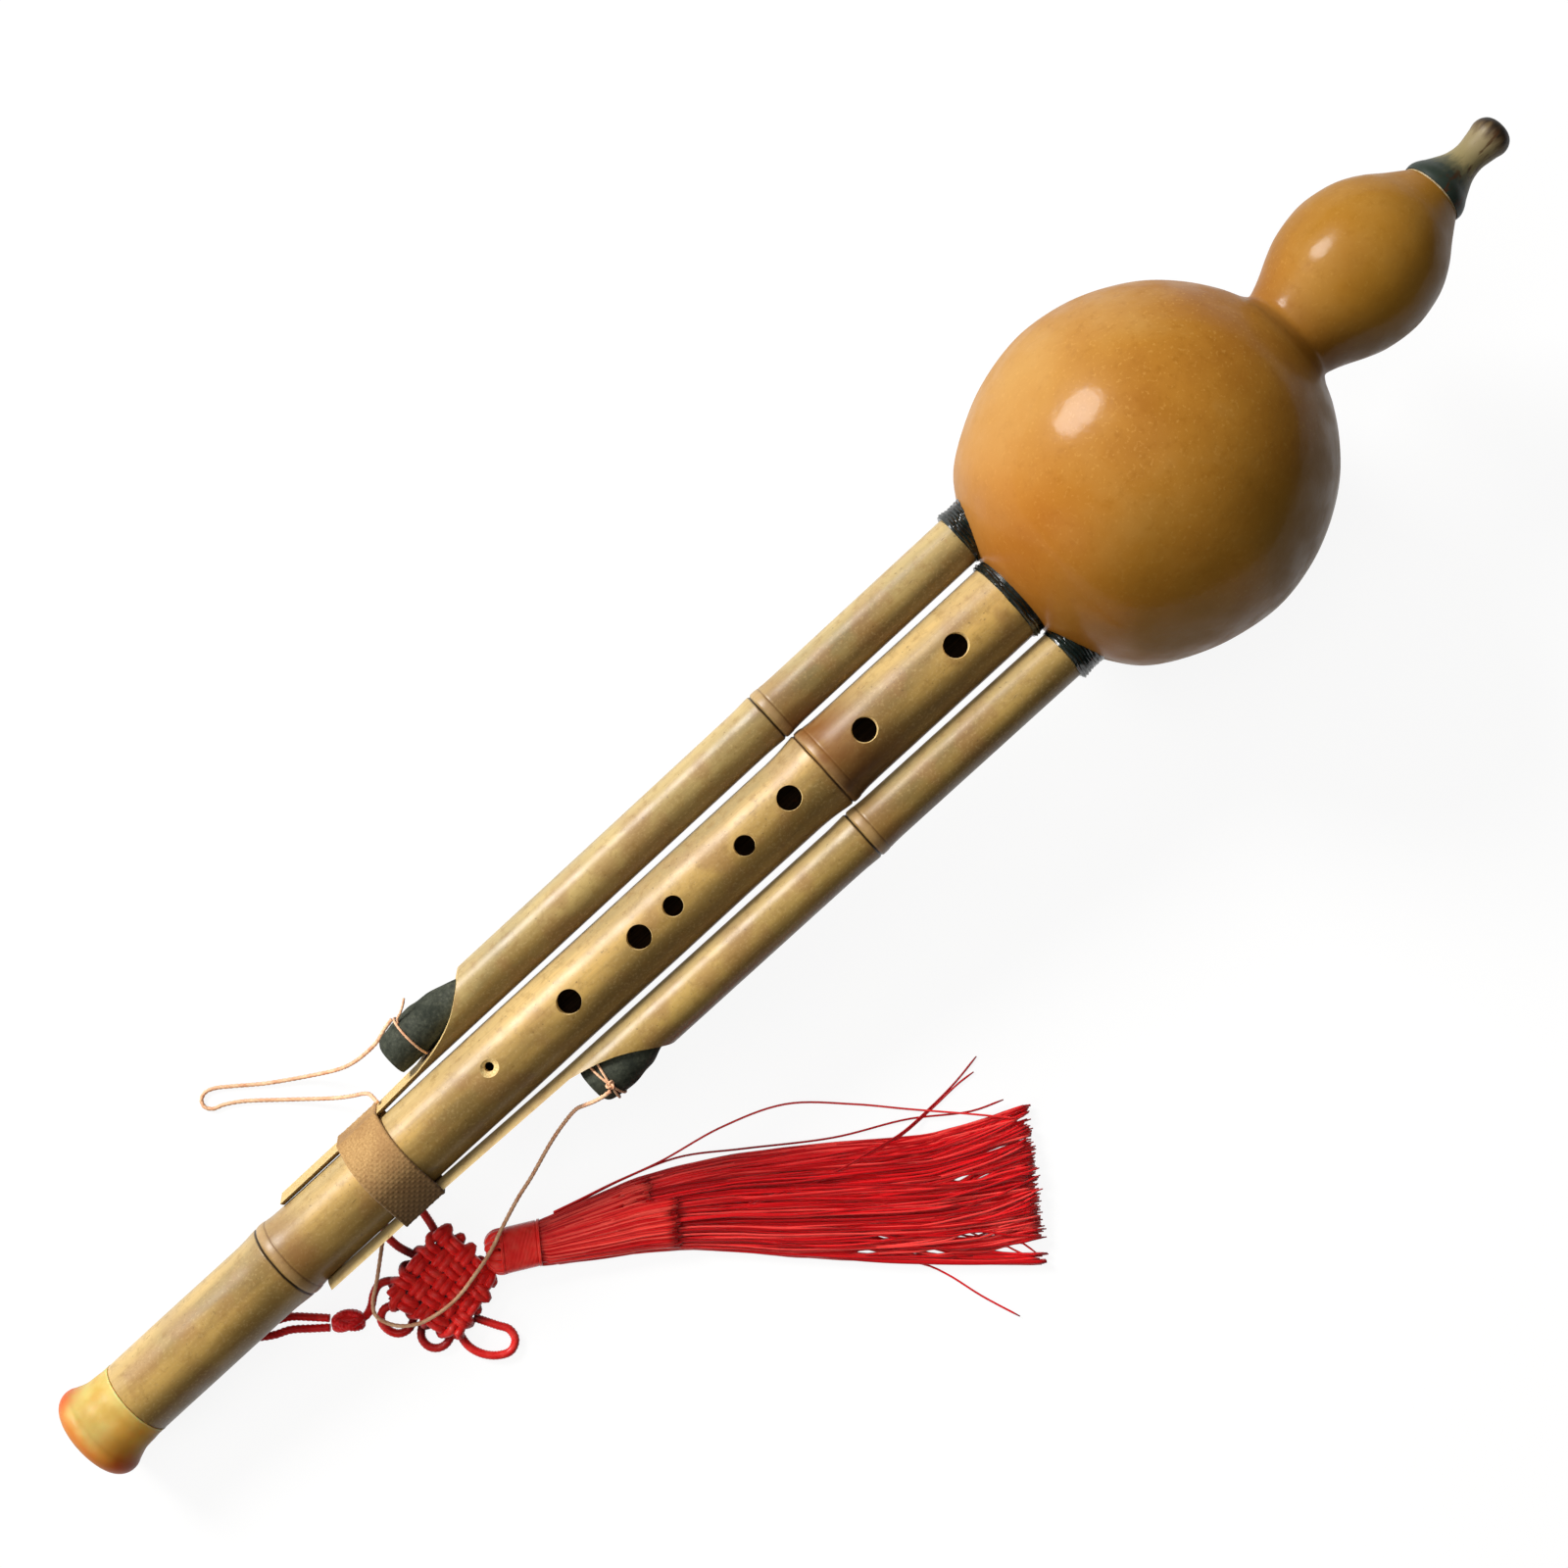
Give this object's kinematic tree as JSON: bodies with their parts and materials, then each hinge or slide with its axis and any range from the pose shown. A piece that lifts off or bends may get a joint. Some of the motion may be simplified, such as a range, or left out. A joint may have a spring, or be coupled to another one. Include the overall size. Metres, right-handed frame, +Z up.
{
  "type": "hulusi",
  "caption": "Gourd-chambered free-reed flute: a fingered bamboo pipe between bamboo drones with stoppers on tethers, a mouthpiece, a bell ring and a knotted lanyard with a tassel.",
  "frame": {"origin": "bottom centre of the instrument's box at rest, without the lanyard, tassel and tethers", "axes": "+X along the instrument toward the mouthpiece, +Z up, so the finger holes face up, and the left drone is at +Y"},
  "size_m": [0.4586, 0.1732, 0.0894],
  "materials": {
    "gourd": "warm orange-tan dried gourd skin under a clear gloss lacquer",
    "bamboo": "olive-gold varnished bamboo",
    "sealing_wax": "black-green glossy sealing wax",
    "horn": "khaki horn, dark green at the base and brown at the tip",
    "seal": "pale cream ring",
    "amber": "translucent amber resin, orange-red at the flare",
    "reed_brass": "plain sheet brass",
    "stopper": "matte grey-green",
    "woven_tape": "tan woven tape",
    "tether_cord": "pale copper-tan thin cord",
    "red_cord": "red knotting cord",
    "red_yarn": "red tassel yarn"
  },
  "bodies": {
    "instrument": {"gourd": "gourd", "mouthpiece": "horn", "mouthpiece_seal": "seal", "main_pipe": "bamboo", "bell_ring": "amber", "binding_band": "woven_tape", "main_reed_plate": "reed_brass", "main_end_plug": "sealing_wax", "main_collar": "sealing_wax", "left_drone_pipe": "bamboo", "left_reed_plate": "reed_brass", "left_end_plug": "sealing_wax", "left_collar": "sealing_wax", "right_drone_pipe": "bamboo", "right_reed_plate": "reed_brass", "right_end_plug": "sealing_wax", "right_collar": "sealing_wax", "left_tether": "tether_cord", "right_tether": "tether_cord"},
    "left_stopper": {"left_stopper": "stopper", "left_stopper_tie": "tether_cord"},
    "right_stopper": {"right_stopper": "stopper", "right_stopper_tie": "tether_cord"},
    "main_tongue": {"main_reed_tongue": "reed_brass"},
    "left_tongue": {"left_reed_tongue": "reed_brass"},
    "right_tongue": {"right_reed_tongue": "reed_brass"},
    "lanyard": {"lanyard_stop_knot": "red_cord", "lanyard_first_strand": "red_cord", "lanyard_second_strand": "red_cord", "button_knot": "red_cord", "pan_chang_knot": "red_cord", "tassel_bundle": "red_yarn", "tassel_sleeve": "red_cord"}
  },
  "joints": [
    {"name": "left_stopper_pull", "type": "slide", "parent": "instrument", "child": "left_stopper", "axis": [-0.9953, -0.0063, -0.0962], "range_m": [0, 0.0105], "deforming": ["left_tether"]},
    {"name": "right_stopper_pull", "type": "slide", "parent": "instrument", "child": "right_stopper", "axis": [-0.9953, 0.0063, -0.0962], "range_m": [0, 0.02], "deforming": ["right_tether"]},
    {"name": "main_tongue_beat", "type": "hinge", "parent": "instrument", "child": "main_tongue", "pos_m": [0.09019, 0, 0.0523], "axis": [0, 1, 0], "range_deg": [-2.5, 2.5], "stiffness_Nm_per_rad": 0.0003},
    {"name": "left_tongue_beat", "type": "hinge", "parent": "instrument", "child": "left_tongue", "pos_m": [0.08108, 0.0187, 0.04785], "axis": [-0.0063, 1, -0.0006], "range_deg": [-2.5, 2.5], "stiffness_Nm_per_rad": 0.0003},
    {"name": "right_tongue_beat", "type": "hinge", "parent": "instrument", "child": "right_tongue", "pos_m": [0.08108, -0.0187, 0.04785], "axis": [0.0063, 1, 0.0006], "range_deg": [-2.5, 2.5], "stiffness_Nm_per_rad": 0.0003},
    {"name": "lanyard_swing", "type": "hinge", "parent": "instrument", "child": "lanyard", "pos_m": [-0.18485, 0, 0.00773], "axis": [0, 0, 1], "range_deg": [-5, 5]}
  ]
}
